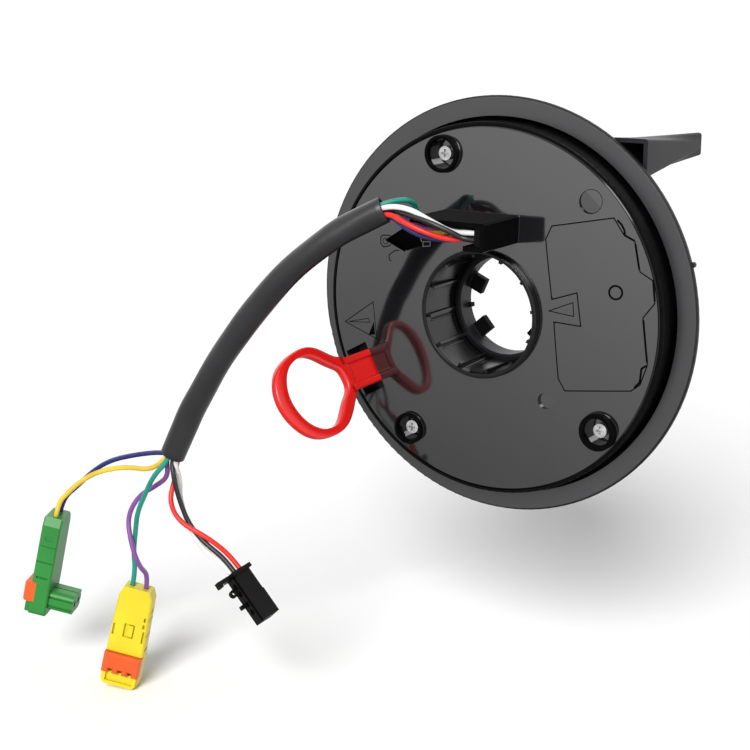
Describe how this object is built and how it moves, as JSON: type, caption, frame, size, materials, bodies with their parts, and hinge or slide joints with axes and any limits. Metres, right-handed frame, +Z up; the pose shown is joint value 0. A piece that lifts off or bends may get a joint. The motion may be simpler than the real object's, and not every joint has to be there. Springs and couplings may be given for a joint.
{
  "type": "steering clock spring",
  "caption": "Rotary cable unit for a steering wheel: flanged round body with a domed turning cover, wire hood, sleeved harness, squib plugs and a pull-off transport lock",
  "frame": {"origin": "on the turning axis, in the rear face of the unit's base plate, which faces the steering column", "axes": "+Y runs along the turning axis to the rear, -Y faces the driver, +Z is up with the wheel straight, +X is to the driver's right"},
  "size_m": [0.2241, 0.1081, 0.2068],
  "materials": {
    "black_gloss": "gloss",
    "black_satin": "satin",
    "grey_flange": "satin",
    "lock_red": "gloss",
    "plug_yellow": "matte",
    "plug_green": "matte",
    "plug_orange": "matte",
    "plug_black": "matte",
    "sleeve": "satin",
    "cable_film": "satin",
    "screw_steel": "dark zinc",
    "contact_brass": "plain",
    "wire_teal": "satin",
    "wire_grey": "satin",
    "wire_black": "satin",
    "wire_red": "satin",
    "wire_navy": "satin",
    "wire_yellow": "satin",
    "wire_violet": "satin"
  },
  "bodies": {
    "stator": {"stator_housing": "grey_flange", "stator_base": "black_satin", "base_slip_sheet": "cable_film", "column_terminal_block": "black_satin", "column_pins": "contact_brass"},
    "rotor": {"rotor_hub": "black_satin", "rotor_cover": "black_gloss", "cover_screws": "screw_steel", "side_lid": "black_satin", "flat_cable": "cable_film", "rotor_slip_sheet": "cable_film", "wire_comb": "black_satin", "wire_teal": "wire_teal", "wire_grey": "wire_grey", "wire_black": "wire_black", "wire_red": "wire_red", "wire_navy": "wire_navy", "wire_yellow": "wire_yellow", "wire_violet": "wire_violet", "harness_sleeve": "sleeve", "yellow_connector": "plug_yellow", "yellow_contacts": "contact_brass", "green_connector": "plug_green", "green_contacts": "contact_brass", "black_connector": "plug_black", "black_retainer": "plug_black"},
    "transport_lock": {"transport_lock": "lock_red"},
    "yellow_lock": {"yellow_lock": "plug_orange"},
    "green_lock": {"green_lock": "plug_orange"}
  },
  "joints": [
    {"name": "rotor_turn", "type": "hinge", "parent": "stator", "child": "rotor", "pos_m": [0, 0, 0], "axis": [0, 1, 0], "range_deg": [-900, 900]},
    {"name": "transport_lock_pull", "type": "slide", "parent": "rotor", "child": "transport_lock", "axis": [-0.2205, -0.9681, -0.1187], "range_m": [0, 0.015]},
    {"name": "yellow_lock_slide", "type": "slide", "parent": "rotor", "child": "yellow_lock", "axis": [0.4384, -0.8988, 0], "range_m": [0, 0.0025]},
    {"name": "green_lock_slide", "type": "slide", "parent": "rotor", "child": "green_lock", "axis": [-0.8775, -0.428, 0.2164], "range_m": [0, 0.0025]}
  ]
}
